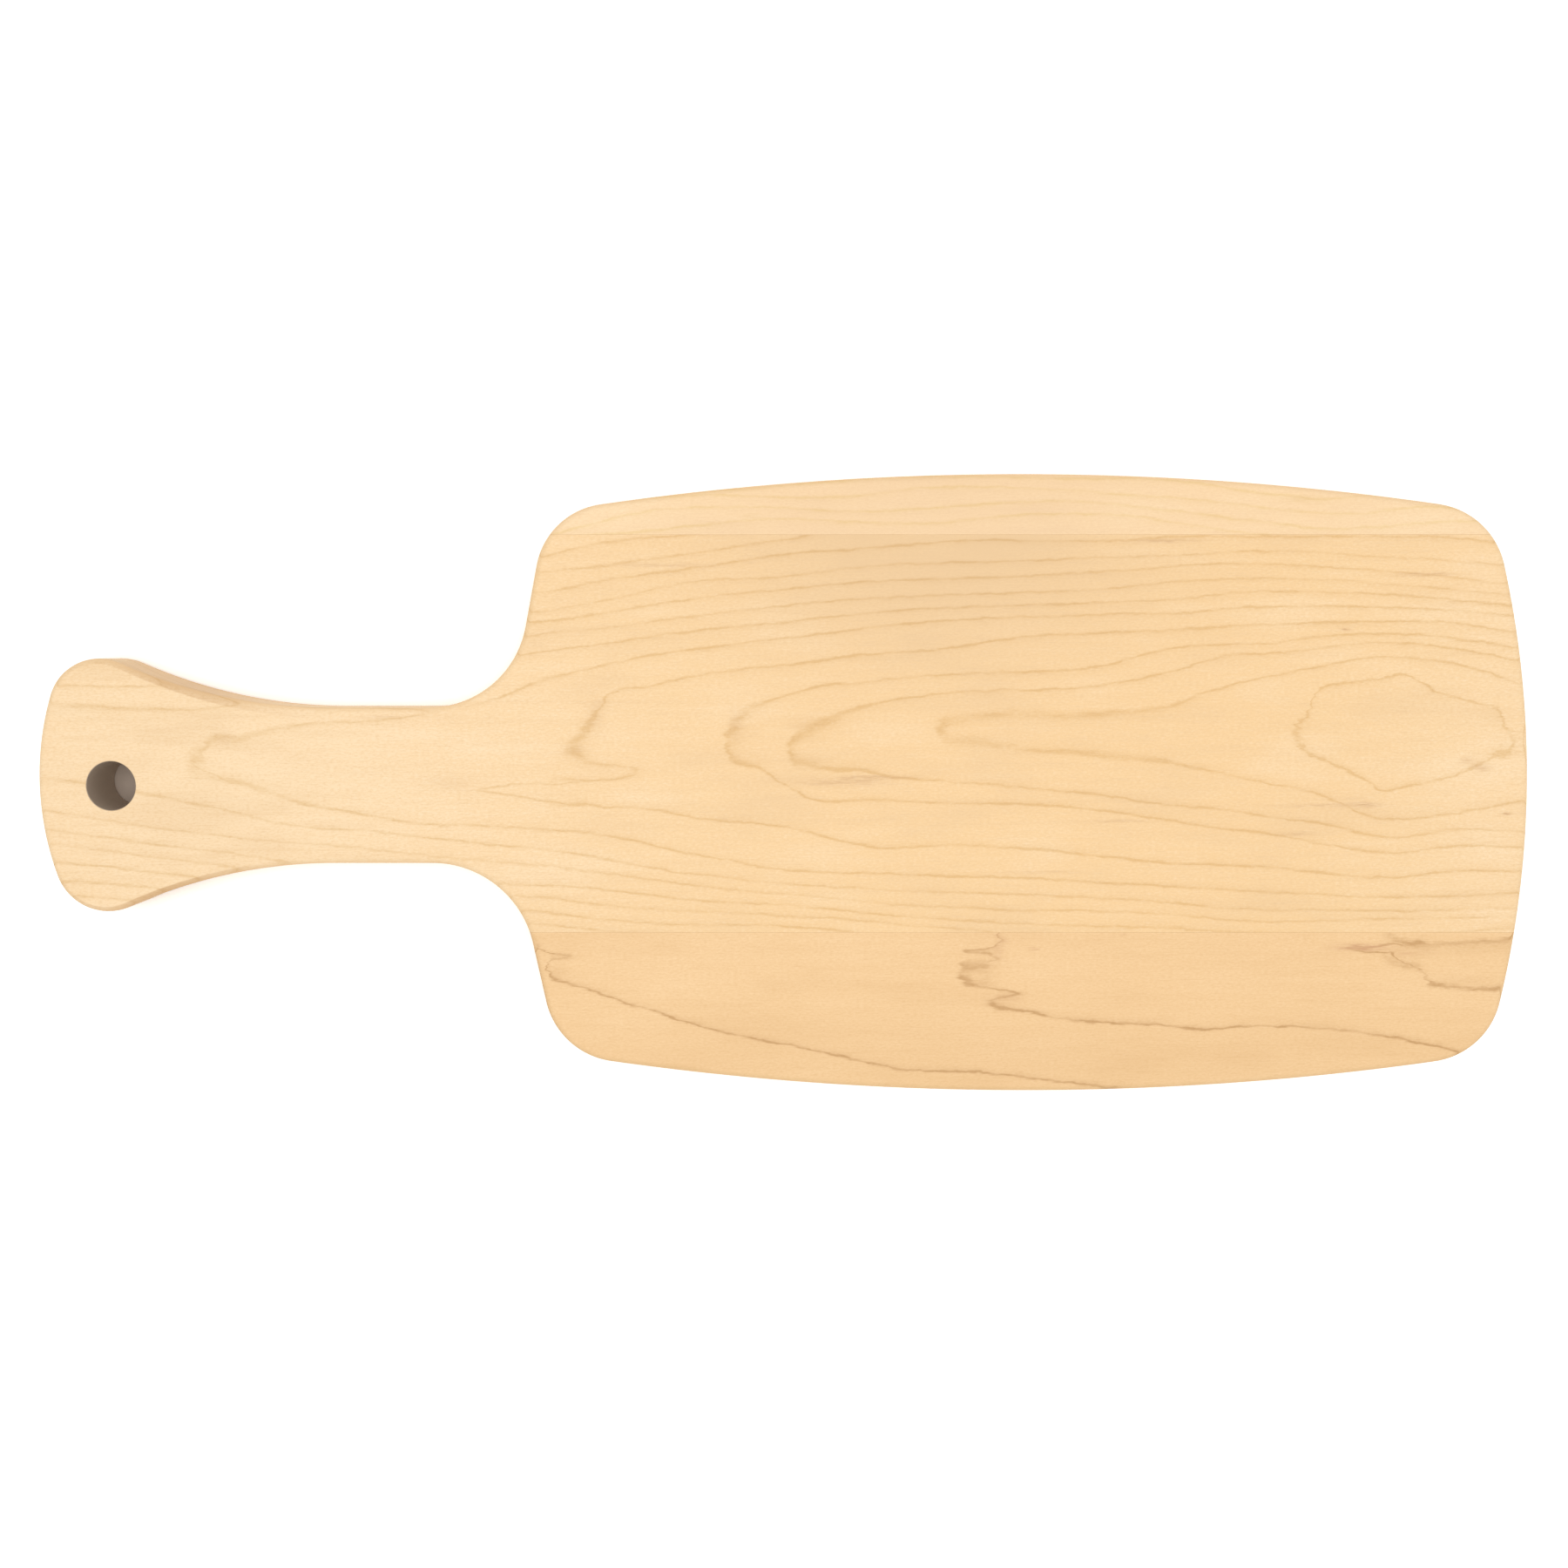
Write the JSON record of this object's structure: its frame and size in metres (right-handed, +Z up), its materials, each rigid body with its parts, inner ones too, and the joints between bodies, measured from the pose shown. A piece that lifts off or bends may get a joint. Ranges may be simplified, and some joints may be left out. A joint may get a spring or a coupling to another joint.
{
  "type": "paddle charcuterie board",
  "caption": "Flat wooden serving board with a flared paddle handle, a hang hole, bowed sides and rounded-over edges, glued up from straight staves.",
  "frame": {"origin": "bottom centre of the board's box, on the surface that the board lies on", "axes": "+X along the board from the handle towards the end of the blade, +Y across it towards the narrow edge stave, +Z up through its thickness"},
  "size_m": [0.457, 0.19, 0.019],
  "materials": {
    "maple_upper": "oiled satin",
    "maple_centre": "oiled satin",
    "maple_lower": "oiled satin",
    "cured_glue": "matt"
  },
  "bodies": {
    "root": {"upper_edge_stave": "maple_upper", "upper_glue_line": "cured_glue", "centre_plank": "maple_centre", "lower_glue_line": "cured_glue", "lower_edge_stave": "maple_lower"}
  },
  "joints": []
}
